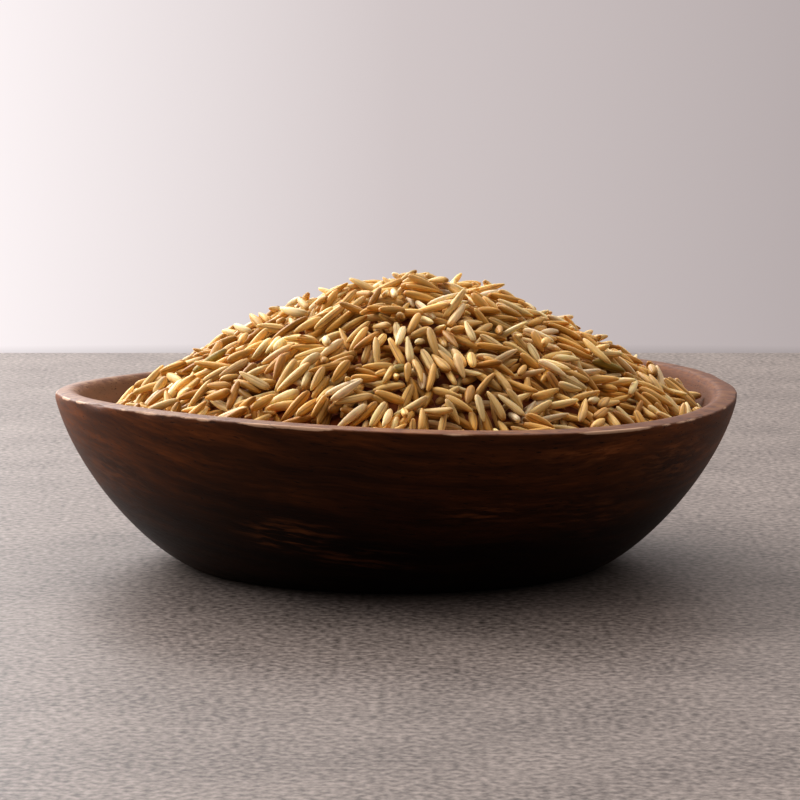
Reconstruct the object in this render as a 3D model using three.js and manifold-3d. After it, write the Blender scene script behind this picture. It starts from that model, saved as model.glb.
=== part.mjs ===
// A low turned wooden bowl, heaped with oat grains.
// Millimetres, +Z up. The origin is the middle of the foot, on the surface that it stands on.
import * as THREE from "three";
import { mergeVertices } from "three/addons/utils/BufferGeometryUtils.js";
import Module from "manifold-3d";

// Driving dimensions of the bowl
const RIM_RADIUS = 75;
const RIM_HEIGHT = 38.2; // at the rim's inner edge
const RIM_WIDTH = 5;
const RIM_FALL = 0.6; // the rim's outer edge lies this much lower than its inner one
const ARRIS = 0.5; // the narrow bevel on the rim's outer edge
const FOOT_RADIUS = 45.9;
const FLOOR_RADIUS = 30; // the flat middle of the inside
const FLOOR_HEIGHT = 7;
// The wall's two faces are curves. Each handle is the radius and height that the curve is drawn towards.
const OUTER_FOOT_HANDLE = [55.9, 3.9];
const OUTER_RIM_HANDLE = [71.8, 21.9];
const INNER_RIM_HANDLE = [65, 27];
const INNER_FLOOR_HANDLE = [56, FLOOR_HEIGHT];
const OUTER_STEPS = 9;
const INNER_STEPS = 8;
const SADDLE = 1.6; // how far drying has lifted and lowered the rim
const BOWL_SEGMENTS = 72;

// Driving dimensions of the heap
const SEAT_GAP = 0.3; // between the grains and the wood
const HEAP_RADIUS = 66; // of the circle where the grains meet the wall
const HEAP_EDGE_X = 0.8; // its middle, moved right because the wall widens upwards
const HEAP_EDGE_HEIGHT = 31;
const HEAP_TILT = 1.6; // the grains lie this much higher at the right, and lower at the left
const HEAP_TOP_X = 6;
const HEAP_TOP_HEIGHT = 62;
const HEAP_BULGE = 1.5; // 1 is a cone, and more is rounder
const ROOM_SEGMENTS = 36;
const ROOM_HEIGHT = 100;

// Driving dimensions of the grains, which are a little larger than life so that fewer cover the heap
const GRAIN_WIDTH = 2.5;
const GRAIN_RIDGE = 1.3; // how high a grain's back stands over the slope
const GRAIN_DROOP = 1; // how much lower its ends are than its back
const GRAIN_BOW = 0.4; // how far the middle may stand off the line between the ends
const GRAIN_LIFT = 1.2; // how far the highest grains are lifted
const GRAIN_RISE = 0.16; // how steeply one may rise out of the slope
const GRAIN_SCATTER = 1; // radians that one may point off the slope
const SHARE_LYING_ANYHOW = 0.35;
const FLANK_SLOPE = 1; // how steeply a grain's flank falls to the valley beside it
// Whole grains come first. Those that the others half hide, and those that stand on end, fill the gaps.
const WHOLE_GRAIN = { length: 7.6, points: 3, tries: 12000 };
const HALF_HIDDEN_GRAIN = { length: 3, points: 2, tries: 8000 };
const UPRIGHT_GRAIN = { length: 0, points: 1, tries: 8000 };
const LAID_RADIUS = 70; // grains are laid a little past the wall, which then cuts them
const MARGIN_RADIUS = 85;
const MARGIN_POINTS = 40;
const SEED = 7;
const FAR = 1e5; // farther than any point of the plan

// The same random numbers on every run, from 0 to 1.
function seededRandom(seed) {
  let state = seed;
  return () => {
    state = (Math.imul(state, 1664525) + 1013904223) >>> 0;
    return state / 2 ** 32;
  };
}

// Drying has pulled the bowl to a slight saddle. It grows with height, so that the foot stays flat.
function saddle(x, y, z) {
  return SADDLE * ((2 * x * y) / RIM_RADIUS ** 2) * (z / RIM_HEIGHT) ** 2;
}

function bendToSaddle(geometry) {
  const position = geometry.getAttribute("position");
  for (let i = 0; i < position.count; i++) {
    const x = position.getX(i);
    const y = position.getY(i);
    const z = position.getZ(i);
    position.setZ(i, z + saddle(x, y, z));
  }
}

// The outside of the wall, from the foot up to the rim's outer edge.
function outerWall() {
  const curve = new THREE.CubicBezierCurve(
    new THREE.Vector2(FOOT_RADIUS, 0),
    new THREE.Vector2(...OUTER_FOOT_HANDLE),
    new THREE.Vector2(...OUTER_RIM_HANDLE),
    new THREE.Vector2(RIM_RADIUS, RIM_HEIGHT - RIM_FALL - ARRIS),
  );
  return curve.getPoints(OUTER_STEPS);
}

// The inside of the wall, from the rim's inner edge down to the flat floor.
function innerWall() {
  const curve = new THREE.CubicBezierCurve(
    new THREE.Vector2(RIM_RADIUS - RIM_WIDTH, RIM_HEIGHT),
    new THREE.Vector2(...INNER_RIM_HANDLE),
    new THREE.Vector2(...INNER_FLOOR_HANDLE),
    new THREE.Vector2(FLOOR_RADIUS, FLOOR_HEIGHT),
  );
  return curve.getPoints(INNER_STEPS);
}

// A profile of (radius, height) points turned about the Z axis.
function turned(profile, segments) {
  return new THREE.LatheGeometry(profile, segments).rotateX(Math.PI / 2);
}

function makeBowl() {
  const profile = [
    new THREE.Vector2(0, 0),
    ...outerWall(),
    new THREE.Vector2(RIM_RADIUS - ARRIS, RIM_HEIGHT - RIM_FALL),
    ...innerWall(),
    new THREE.Vector2(0, FLOOR_HEIGHT),
  ];
  const geometry = turned(profile, BOWL_SEGMENTS);
  bendToSaddle(geometry);
  return geometry;
}

// How far out a point of the plan lies: 0 at the heap's top, and 1 on the circle where it meets the wall.
// The circles between have their middles on the line from the one to the other.
function shareOut(x, y) {
  const shift = HEAP_TOP_X - HEAP_EDGE_X;
  const fromTop = x - HEAP_TOP_X;
  const scale = HEAP_RADIUS ** 2 - shift ** 2;
  const root = Math.sqrt((shift * fromTop) ** 2 + scale * (fromTop ** 2 + y ** 2));
  return (shift * fromTop + root) / scale;
}

// The height of the slope that the grains lie on.
function slopeHeight(x, y) {
  const share = shareOut(x, y);
  const rise = (HEAP_TOP_HEIGHT - HEAP_EDGE_HEIGHT) * (1 - share ** HEAP_BULGE);
  return HEAP_EDGE_HEIGHT + rise + HEAP_TILT * (x / HEAP_RADIUS) * share ** 2;
}

// A grain dropped on the plan: points along its back, from end to end.
// Most grains point down the slope, and the others lie anyhow.
function dropGrain({ length, points }, random) {
  const radius = LAID_RADIUS * Math.sqrt(random());
  const bearing = 2 * Math.PI * random();
  const middle = new THREE.Vector2(radius * Math.cos(bearing), radius * Math.sin(bearing));
  const downhill = Math.atan2(middle.y, middle.x - HEAP_TOP_X);
  const anyhow = random() < SHARE_LYING_ANYHOW;
  const heading = anyhow ? Math.PI * random() : downhill + GRAIN_SCATTER * (2 * random() - 1);
  const lift = GRAIN_LIFT * random();
  const rise = GRAIN_RISE * (2 * random() - 1);
  const bow = GRAIN_BOW * (2 * random() - 1);
  const back = [];
  for (let i = 0; i < points; i++) {
    const along = length * ((i + 0.5) / points - 0.5) * (points / Math.max(points - 1, 1));
    const aside = bow * (1 - ((2 * along) / WHOLE_GRAIN.length) ** 2);
    const x = middle.x + along * Math.cos(heading) - aside * Math.sin(heading);
    const y = middle.y + along * Math.sin(heading) + aside * Math.cos(heading);
    const droop = GRAIN_DROOP * ((2 * along) / WHOLE_GRAIN.length) ** 2;
    const height = slopeHeight(x, y) + GRAIN_RIDGE + lift + rise * along - droop;
    back.push(new THREE.Vector3(x, y, height));
  }
  return back;
}

// Points closer together than those that make the back, to measure from.
function measuringPoints(back) {
  return back.flatMap((point, i) => (i ? [point.clone().lerp(back[i - 1], 0.5), point] : [point]));
}

function planDistance(a, b) {
  return Math.hypot(a.x - b.x, a.y - b.y);
}

// Grains are dropped one by one, and each that keeps a grain's width from those before it stays.
function layGrains(random) {
  const laid = [];
  const taken = [];
  for (const kind of [WHOLE_GRAIN, HALF_HIDDEN_GRAIN, UPRIGHT_GRAIN]) {
    for (let attempt = 0; attempt < kind.tries; attempt++) {
      const back = dropGrain(kind, random);
      const points = measuringPoints(back);
      const meets = (point) => taken.some((other) => planDistance(point, other) < GRAIN_WIDTH);
      if (points.some(meets)) continue;
      laid.push(back);
      taken.push(...points);
    }
  }
  return laid;
}

// A triangle of the plan with its circumcircle.
function circled(points, a, b, c) {
  const [p, q, r] = [points[a], points[b], points[c]];
  const twiceArea = 2 * ((q.x - p.x) * (r.y - p.y) - (r.x - p.x) * (q.y - p.y));
  const toQ = (q.x - p.x) ** 2 + (q.y - p.y) ** 2;
  const toR = (r.x - p.x) ** 2 + (r.y - p.y) ** 2;
  const x = ((r.y - p.y) * toQ - (q.y - p.y) * toR) / twiceArea;
  const y = ((q.x - p.x) * toR - (r.x - p.x) * toQ) / twiceArea;
  return { corners: [a, b, c], middle: { x: p.x + x, y: p.y + y }, radius: Math.hypot(x, y) };
}

// Joins points of the plan into triangles whose circumcircles hold no other point.
function delaunay(points) {
  const all = [...points, { x: -FAR, y: -FAR }, { x: FAR, y: -FAR }, { x: 0, y: FAR }];
  const count = points.length;
  let triangles = [circled(all, count, count + 1, count + 2)];
  points.forEach((point, index) => {
    const rim = new Map();
    triangles = triangles.filter(({ corners, middle, radius }) => {
      if (planDistance(point, middle) > radius) return true;
      corners.forEach((from, i) => {
        const to = corners[(i + 1) % 3];
        if (!rim.delete(`${to} ${from}`)) rim.set(`${from} ${to}`, [from, to]);
      });
      return false;
    });
    for (const [from, to] of rim.values()) triangles.push(circled(all, from, to, index));
  });
  return triangles.map(({ corners }) => corners).filter((corners) => Math.max(...corners) < count);
}

// The heap's face: the grains' backs are ridges, and a valley runs halfway between two grains.
function grainRelief(grains) {
  const points = grains.flat();
  const owner = grains.flatMap((back, index) => back.map(() => index));
  const triangles = [];
  const valleys = new Map();
  const valley = (a, b) => {
    const key = a < b ? `${a} ${b}` : `${b} ${a}`;
    if (!valleys.has(key)) {
      const point = points[a].clone().lerp(points[b], 0.5);
      const halfway = planDistance(points[a], points[b]) / 2;
      point.z = Math.min(points[a].z, points[b].z) - FLANK_SLOPE * halfway;
      valleys.set(key, points.push(point) - 1);
    }
    return valleys.get(key);
  };
  for (const [a, b, c] of delaunay(points)) {
    const turns = [[a, b, c], [b, c, a], [c, a, b]];
    const alongOne = turns.find(([from, to]) => owner[from] === owner[to]);
    if (alongOne) {
      const [from, to, other] = alongOne;
      const [ahead, behind] = [valley(to, other), valley(other, from)];
      triangles.push([from, to, ahead], [from, ahead, behind], [behind, ahead, other]);
    } else {
      const [ab, bc, ca] = [valley(a, b), valley(b, c), valley(c, a)];
      triangles.push([a, ab, ca], [ab, b, bc], [ca, bc, c], [ab, bc, ca]);
    }
  }
  return { points, triangles };
}

// The relief as a closed solid: its margin, outside the bowl, is joined to a point under the bowl.
function grainSolid(random) {
  const margin = [];
  for (let i = 0; i < MARGIN_POINTS; i++) {
    const angle = (2 * Math.PI * i) / MARGIN_POINTS;
    const radius = MARGIN_RADIUS + random();
    const [x, y] = [radius * Math.cos(angle), radius * Math.sin(angle)];
    margin.push(new THREE.Vector3(x, y, slopeHeight(x, y)));
  }
  const { points, triangles } = grainRelief([margin, ...layGrains(random)]);
  const bottom = points.push(new THREE.Vector3(0, 0, -RIM_HEIGHT)) - 1;
  for (let i = 0; i < MARGIN_POINTS; i++) {
    triangles.push([(i + 1) % MARGIN_POINTS, i, bottom]);
  }
  const geometry = new THREE.BufferGeometry().setFromPoints(points);
  geometry.setIndex(triangles.flat());
  return geometry;
}

// The room in the bowl and over it, a seat's gap clear of the wood.
function roomInBowl() {
  const clear = ({ x, y }) => new THREE.Vector2(x - SEAT_GAP, y + SEAT_GAP);
  const wall = innerWall().reverse().map(clear);
  const top = wall.at(-1);
  const profile = [
    new THREE.Vector2(0, FLOOR_HEIGHT + SEAT_GAP),
    ...wall,
    new THREE.Vector2(top.x, ROOM_HEIGHT),
    new THREE.Vector2(0, ROOM_HEIGHT),
  ];
  return turned(profile, ROOM_SEGMENTS);
}

// A closed geometry as a solid that can be joined.
function solidOf(wasm, geometry) {
  const bare = geometry.clone();
  bare.deleteAttribute("normal");
  bare.deleteAttribute("uv");
  const merged = mergeVertices(bare, 1e-4);
  const corners = merged.index.array;
  const triangles = [];
  for (let i = 0; i < corners.length; i += 3) {
    const [a, b, c] = corners.slice(i, i + 3);
    if (a !== b && b !== c && c !== a) triangles.push(a, b, c);
  }
  return new wasm.Manifold(
    new wasm.Mesh({
      numProp: 3,
      vertProperties: merged.getAttribute("position").array,
      triVerts: new Uint32Array(triangles),
    }),
  );
}

function geometryOf(solid) {
  const mesh = solid.getMesh();
  const geometry = new THREE.BufferGeometry();
  geometry.setAttribute("position", new THREE.BufferAttribute(mesh.vertProperties, 3));
  geometry.setIndex(new THREE.BufferAttribute(mesh.triVerts, 1));
  geometry.computeVertexNormals();
  return geometry;
}

async function makeHeap() {
  const wasm = await Module();
  wasm.setup();
  const grains = solidOf(wasm, grainSolid(seededRandom(SEED)));
  const room = solidOf(wasm, roomInBowl());
  const geometry = geometryOf(grains.intersect(room));
  bendToSaddle(geometry);
  return geometry;
}

function named(name, geometry, material) {
  const mesh = new THREE.Mesh(geometry, material);
  mesh.name = name;
  return mesh;
}

const darkWood = new THREE.MeshStandardMaterial({ color: 0x3a2016, roughness: 0.45, metalness: 0 });
const oats = new THREE.MeshStandardMaterial({ color: 0xc79a62, roughness: 0.6, metalness: 0 });

const bowlOfOats = new THREE.Group();
bowlOfOats.add(named("bowl", makeBowl(), darkWood));
bowlOfOats.add(named("oat_heap", await makeHeap(), oats));

export default bowlOfOats;
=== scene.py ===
# %% [markdown]
# # A turned wooden bowl heaped with oats
# The object is a low, wide bowl turned from dark wood, with a few thousand hulled oat grains heaped
# in it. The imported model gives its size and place. Here the bowl gets a fine surface, and the heap
# gets grains of about their true size, each resting on those under it. Everything is in metres,
# with Z up.

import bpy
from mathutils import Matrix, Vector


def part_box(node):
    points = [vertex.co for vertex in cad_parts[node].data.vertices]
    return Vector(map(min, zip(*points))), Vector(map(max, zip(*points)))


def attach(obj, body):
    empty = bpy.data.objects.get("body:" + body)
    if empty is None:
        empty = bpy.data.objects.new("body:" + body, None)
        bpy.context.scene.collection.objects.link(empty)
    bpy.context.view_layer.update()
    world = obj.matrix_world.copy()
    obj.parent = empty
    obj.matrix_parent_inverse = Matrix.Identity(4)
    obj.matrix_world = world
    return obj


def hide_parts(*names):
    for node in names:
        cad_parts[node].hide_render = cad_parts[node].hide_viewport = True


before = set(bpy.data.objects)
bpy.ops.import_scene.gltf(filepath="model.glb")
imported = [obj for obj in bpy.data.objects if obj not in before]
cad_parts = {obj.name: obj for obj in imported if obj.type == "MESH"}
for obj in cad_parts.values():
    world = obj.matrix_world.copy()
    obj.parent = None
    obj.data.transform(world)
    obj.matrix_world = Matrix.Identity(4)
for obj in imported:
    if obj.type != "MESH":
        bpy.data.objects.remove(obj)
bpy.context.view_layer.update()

# %% Helpers from Blender and Python
import math

import bmesh
import bpy
import numpy as np
from mathutils import Matrix, Vector, noise
from mathutils.geometry import interpolate_bezier

MM = 0.001

# %% [markdown]
# ## Colours and nodes
# A colour picked from a picture is sRGB, and shaders work in linear light. So every colour is
# written as sRGB hex and turned linear by one function. Another function adds any node: it sets its
# properties, fills its sockets with values or links, and fills a colour ramp's stops.

# %% Colour and node helpers
def linear(hex_colour):
    """An sRGB hex colour as linear red, green, blue and alpha."""
    channels = [int(hex_colour[i:i + 2], 16) / 255 for i in (1, 3, 5)]
    return [c / 12.92 if c <= 0.04045 else ((c + 0.055) / 1.055) ** 2.4 for c in channels] + [1.0]


def add_node(tree, kind, inputs=(), stops=(), **settings):
    """Adds a node. inputs maps each socket to a value or to the socket that feeds it."""
    made = tree.nodes.new(kind)
    for name, value in settings.items():
        setattr(made, name, value)
    for socket, value in dict(inputs).items():
        if isinstance(value, bpy.types.NodeSocket):
            tree.links.new(value, made.inputs[socket])
        else:
            made.inputs[socket].default_value = value
    for i, (position, colour) in enumerate(stops):
        elements = made.color_ramp.elements
        stop = elements[i] if i < len(elements) else elements.new(position)
        stop.position = position
        stop.color = linear(colour)
    return made


# The sockets of a Mix node that mixes colours
FACTOR, FIRST, SECOND, MIXED = 0, 6, 7, 2


def new_material(name):
    """A material with its node tree and its Principled shader."""
    material = bpy.data.materials.new(name)
    material.use_nodes = True
    return material, material.node_tree, material.node_tree.nodes["Principled BSDF"]

# %% [markdown]
# ## Camera
# The picture was taken from a little above the rim, from about 0.7 m away. The lens and the tilt
# come from fitting the rim's two edges and the foot. The bowl's left and right ends then fall where
# they do in the picture.

# %% Camera
EYE = Vector((0.9, -700, 119.3)) * MM
EYE_TILT = math.radians(6.86)
LENS = 143.8
SENSOR_WIDTH = 36  # mm, as the lens
NEAREST = 0.05

camera_data = bpy.data.cameras.new("camera")
camera_data.sensor_width = SENSOR_WIDTH
camera_data.lens = LENS
camera_data.clip_start = NEAREST
camera = bpy.data.objects.new("camera", camera_data)
camera.location = EYE
camera.rotation_euler = (math.pi / 2 - EYE_TILT, 0, 0)
bpy.context.scene.collection.objects.link(camera)
bpy.context.scene.camera = camera
print("camera height, m:", round(camera.location.z, 4))

# %% [markdown]
# ## Light and table
# Soft daylight comes from a large window behind on the left. It lights the heap's left side and the
# rim, and leaves the bowl's front in shade. One large area light is the window. The room is a plain
# sky: pale at table height behind the bowl, as a light wall is, brighter towards the window and
# overhead, and dim in front. The ceiling throws back the most light, above all on the window's
# side. The table is a plain slab of pale, fine-grained stone, with a straight far edge.

# %% Window
WINDOW_PLACE = Vector((-0.95, 0.80, 0.80))
WINDOW_WIDTH = 2.0
WINDOW_HEIGHT = 0.8
WINDOW_POWER = 31
WINDOW_COLOUR = "#fbf9fa"
RIM_MIDDLE = Vector((0, 0, 0.04))  # where the window is turned to

window_data = bpy.data.lights.new("window", "AREA")
window_data.shape = "RECTANGLE"
window_data.size = WINDOW_WIDTH
window_data.size_y = WINDOW_HEIGHT
window_data.energy = WINDOW_POWER
window_data.color = linear(WINDOW_COLOUR)[:3]
window = bpy.data.objects.new("window", window_data)
window.location = WINDOW_PLACE
window.rotation_euler = (RIM_MIDDLE - WINDOW_PLACE).to_track_quat("-Z", "Y").to_euler()
bpy.context.scene.collection.objects.link(window)

# %% Pale room: the wall behind
# The room's numbers are parts of a view direction that is one long
WALL_REACH = 0.16  # how far the wall in view reaches to each side
UNDER_EDGE = -0.1056  # just under the table's far edge
OVER_EDGE = -0.1018  # just over it
FLOOR_SHADE = 0.74

world = bpy.data.worlds.new("pale_room")
bpy.context.scene.world = world
world.use_nodes = True
tree = world.node_tree
direction = add_node(
    tree,
    "ShaderNodeSeparateXYZ",
    {"Vector": add_node(tree, "ShaderNodeTexCoord").outputs["Generated"]},
)
across = add_node(
    tree,
    "ShaderNodeMapRange",
    {"Value": direction.outputs["X"], "From Min": -WALL_REACH, "From Max": WALL_REACH},
)
wall = add_node(
    tree,
    "ShaderNodeValToRGB",
    {"Fac": across.outputs["Result"]},
    stops=((0, "#f2ebec"), (0.5, "#c4bbbb"), (1, "#a79e9e")),
)
# Below the table's far edge the floor of the room shows, a little darker than the wall
wall_foot = add_node(
    tree,
    "ShaderNodeMapRange",
    {
        "Value": direction.outputs["Z"],
        "From Min": UNDER_EDGE,
        "From Max": OVER_EDGE,
        "To Min": FLOOR_SHADE,
        "To Max": 1.0,
    },
)
wall_and_floor = add_node(
    tree,
    "ShaderNodeMix",
    {FACTOR: 1.0, FIRST: wall.outputs["Color"], SECOND: wall_foot.outputs["Result"]},
    data_type="RGBA",
    blend_type="MULTIPLY",
)

# %% Pale room: the other walls
side_to_side = add_node(
    tree, "ShaderNodeMapRange", {"Value": direction.outputs["X"], "From Min": -1, "From Max": 1}
)
in_front = add_node(
    tree,
    "ShaderNodeValToRGB",
    {"Fac": side_to_side.outputs["Result"]},
    stops=((0.1, "#b3aaa8"), (0.45, "#47413f"), (1, "#564f4e")),
)
behind = add_node(
    tree, "ShaderNodeMapRange", {"Value": direction.outputs["Y"], "From Min": -0.2, "From Max": 0.5}
)
walls = add_node(
    tree,
    "ShaderNodeMix",
    {
        FACTOR: behind.outputs["Result"],
        FIRST: in_front.outputs["Color"],
        SECOND: wall_and_floor.outputs[MIXED],
    },
    data_type="RGBA",
)

# %% Pale room: the ceiling
WINDOW_SIDE = 1.35  # the ceiling's brightness towards the window
FAR_SIDE = 0.75  # and away from it
CEILING_STARTS = 0.15
CEILING_FULL = 0.6
CEILING_THROW = 1.6

to_back = add_node(
    tree, "ShaderNodeMapRange", {"Value": direction.outputs["Y"], "From Min": -0.8, "From Max": 0.3}
)
ceiling = add_node(
    tree,
    "ShaderNodeMix",
    {FACTOR: to_back.outputs["Result"], FIRST: linear("#575150"), SECOND: linear("#efe9e7")},
    data_type="RGBA",
)
# The ceiling is brightest on the window's side
from_window = add_node(
    tree,
    "ShaderNodeMapRange",
    {
        "Value": direction.outputs["X"],
        "From Min": -0.7,
        "From Max": 0.7,
        "To Min": WINDOW_SIDE,
        "To Max": FAR_SIDE,
    },
)
lit_ceiling = add_node(
    tree,
    "ShaderNodeMix",
    {FACTOR: 1.0, FIRST: ceiling.outputs[MIXED], SECOND: from_window.outputs["Result"]},
    data_type="RGBA",
    blend_type="MULTIPLY",
)
overhead = add_node(
    tree,
    "ShaderNodeMapRange",
    {"Value": direction.outputs["Z"], "From Min": CEILING_STARTS, "From Max": CEILING_FULL},
)
room = add_node(
    tree,
    "ShaderNodeMix",
    {
        FACTOR: overhead.outputs["Result"],
        FIRST: walls.outputs[MIXED],
        SECOND: lit_ceiling.outputs[MIXED],
    },
    data_type="RGBA",
)
tree.links.new(room.outputs[MIXED], tree.nodes["Background"].inputs["Color"])
# The ceiling throws back more light than the walls
throw = add_node(
    tree,
    "ShaderNodeMapRange",
    {
        "Value": direction.outputs["Z"],
        "From Min": CEILING_STARTS,
        "From Max": CEILING_FULL,
        "To Min": 1.0,
        "To Max": CEILING_THROW,
    },
)
tree.links.new(throw.outputs["Result"], tree.nodes["Background"].inputs["Strength"])

# %% Tones of the picture
bpy.context.scene.view_settings.view_transform = "Standard"
bpy.context.scene.view_settings.look = "Medium High Contrast"

# %% Table
TABLE_EDGE = 0.432  # how far behind the bowl the table ends
TABLE_HALF = 1.5

table_mesh = bmesh.new()
bmesh.ops.create_grid(table_mesh, x_segments=1, y_segments=1, size=TABLE_HALF)
bmesh.ops.translate(table_mesh, vec=(0, TABLE_EDGE - TABLE_HALF, 0), verts=table_mesh.verts)
table_data = bpy.data.meshes.new("table")
table_mesh.to_mesh(table_data)
table_mesh.free()
table = bpy.data.objects.new("table", table_data)
bpy.context.scene.collection.objects.link(table)

# %% Honed stone
# Honed stone is matt: a fine grit under faint clouds, with hardly any shine
GRIT_SIZE = 1.5 * MM
CLOUD_SIZE = 26 * MM
CLOUD_SHARE = 0.25

slab, tree, shader = new_material("pale_honed_stone")
place = add_node(tree, "ShaderNodeTexCoord")
grit = add_node(
    tree,
    "ShaderNodeTexNoise",
    {"Vector": place.outputs["Object"], "Scale": 1 / GRIT_SIZE, "Detail": 5},
)
clouds = add_node(
    tree,
    "ShaderNodeTexNoise",
    {"Vector": place.outputs["Object"], "Scale": 1 / CLOUD_SIZE, "Detail": 5},
)
mottle = add_node(
    tree,
    "ShaderNodeMath",
    {0: clouds.outputs["Fac"], 1: CLOUD_SHARE, 2: grit.outputs["Fac"]},
    operation="MULTIPLY_ADD",
)
slab_colour = add_node(
    tree,
    "ShaderNodeValToRGB",
    {"Fac": mottle.outputs["Value"]},
    stops=((0.42, "#463f3b"), (0.82, "#8f857e")),
)
tree.links.new(slab_colour.outputs["Color"], shader.inputs["Base Color"])
shader.inputs["Roughness"].default_value = 0.5
shader.inputs["Specular IOR Level"].default_value = 0.3
table_data.materials.append(slab)

# %% [markdown]
# ## The bowl's shape
# A turned bowl is a profile spun round an axis, so it is made that way here too: a few vertices
# along the outside, over the rim and down the inside, joined by edges, and `bmesh.ops.spin` for the
# turning. The rim's two edges are rounded with a bevel, as sandpaper leaves them.

# %% Bowl dimensions
RIM_RADIUS = Vector(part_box("bowl")[1]).x
RIM_HEIGHT = 38.2 * MM
RIM_WIDTH = 5 * MM
RIM_FALL = 0.6 * MM
FOOT_RADIUS = 45.9 * MM
FLOOR_RADIUS = 30 * MM
FLOOR_HEIGHT = 7 * MM
SADDLE = 1.6 * MM
# Handles of the two wall curves, as radius and height
OUTER_HANDLES = ((FOOT_RADIUS + 10 * MM, 3.9 * MM), (RIM_RADIUS - 3.2 * MM, 21.9 * MM))
INNER_HANDLES = ((65 * MM, 27 * MM), (56 * MM, FLOOR_HEIGHT))
OUTER_STEPS = 72
INNER_STEPS = 48
RIM_STEPS = 6
BOWL_STEPS = 288


def wall_curve(start, start_handle, end_handle, end, steps):
    """Points of a curve in the profile's plane, from (radius, height) pairs."""
    knots = (start, start_handle, end_handle, end)
    return interpolate_bezier(*(Vector((radius, 0, height)) for radius, height in knots), steps)


outer_wall = wall_curve(
    (FOOT_RADIUS, 0), *OUTER_HANDLES, (RIM_RADIUS, RIM_HEIGHT - RIM_FALL), OUTER_STEPS
)
inner_wall = wall_curve(
    (RIM_RADIUS - RIM_WIDTH, RIM_HEIGHT), *INNER_HANDLES, (FLOOR_RADIUS, FLOOR_HEIGHT), INNER_STEPS
)
print("rim radius, mm:", round(RIM_RADIUS / MM, 1))

# %% Spin the profile
def spun(profile, steps):
    """A closed mesh: the profile turned once round the Z axis."""
    made = bmesh.new()
    line = [made.verts.new(point) for point in profile]
    edges = [made.edges.new(pair) for pair in zip(line, line[1:])]
    bmesh.ops.spin(
        made,
        geom=line + edges,
        cent=(0, 0, 0),
        axis=(0, 0, 1),
        angle=math.tau,
        steps=steps,
        use_merge=True,
    )
    bmesh.ops.remove_doubles(made, verts=made.verts, dist=0.001 * MM)
    bmesh.ops.recalc_face_normals(made, faces=made.faces)
    return made

# %% Turn the bowl
INNER_ROUNDING = 1.8 * MM

inner_edge = inner_wall[0]
rim_face = [outer_wall[-1].lerp(inner_edge, i / RIM_STEPS) for i in range(1, RIM_STEPS)]
floor_middle = Vector((0, 0, FLOOR_HEIGHT))
bowl_profile = [Vector((0, 0, 0)), *outer_wall, *rim_face, *inner_wall, floor_middle]
# The rounding needs room on both sides of the inner edge
bowl_profile = [
    point
    for point in bowl_profile
    if point == inner_edge or (point - inner_edge).length > INNER_ROUNDING
]
bowl_mesh = spun(bowl_profile, BOWL_STEPS)
print("bowl faces before rounding:", len(bowl_mesh.faces))

# %% Round the rim and the foot
OUTER_ROUNDING = 0.4 * MM
FOOT_ROUNDING = 0.5 * MM
NEAR = 0.01 * MM  # how exactly a vertex has to lie on a ring


def ring_edges(mesh, radius, height):
    """The edges that run round the bowl at a radius and height."""
    def on_ring(vert):
        return abs(vert.co.xy.length - radius) < NEAR and abs(vert.co.z - height) < NEAR
    return [edge for edge in mesh.edges if all(on_ring(vert) for vert in edge.verts)]


for radius, height, rounding in (
    (RIM_RADIUS, RIM_HEIGHT - RIM_FALL, OUTER_ROUNDING),
    (RIM_RADIUS - RIM_WIDTH, RIM_HEIGHT, INNER_ROUNDING),
    (FOOT_RADIUS, 0, FOOT_ROUNDING),
):
    bmesh.ops.bevel(
        bowl_mesh,
        geom=ring_edges(bowl_mesh, radius, height),
        offset=rounding,
        affect="EDGES",
        segments=4,
        profile=0.5,
        material=-1,
    )
print("bowl faces:", len(bowl_mesh.faces))

# %% [markdown]
# ## Drying and wear
# The wood was not dry when it was turned. It has pulled to a slight saddle: the rim is high at the
# back right and front left and low between. The rim's outer edge has also been knocked and rubbed,
# and has one deeper nick at the front left. Each is a small move of the vertices. Three attributes
# are kept for the finish: whether a vertex is on the rim's face, how close it is to the worn edge,
# and whether it is inside.

# %% Saddle and inner radius
def saddle(x, y, z):
    """How much drying has lifted a point. It grows with height, so that the foot stays flat."""
    return SADDLE * (2 * x * y / RIM_RADIUS**2) * (z / RIM_HEIGHT) ** 2


def inner_radius(height):
    """The radius of the inner wall at a height."""
    heights = [point.z for point in reversed(inner_wall)]
    return np.interp(height, heights, [point.x for point in reversed(inner_wall)])

# %% Wear the edge and mark the faces
EDGE_WEAR = 0.6 * MM
WEAR_REACH = 1.3 * MM
RUBS = 170  # waves of noise per metre
KNOCKS = 60
NICK_BEARING = math.radians(-146)
NICK_WIDTH = math.radians(1.2)
NICK_DEPTH = 0.7 * MM
FACE_BAND = 2 * MM  # how far the rim's face reaches over its two edges
FACE_FADE = 1.5 * MM
FACE_BOTTOM = RIM_HEIGHT - RIM_FALL - 0.2 * MM  # at the outer edge
WALL_BAND = 1 * MM  # what counts as inside, out from the inner wall

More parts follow.
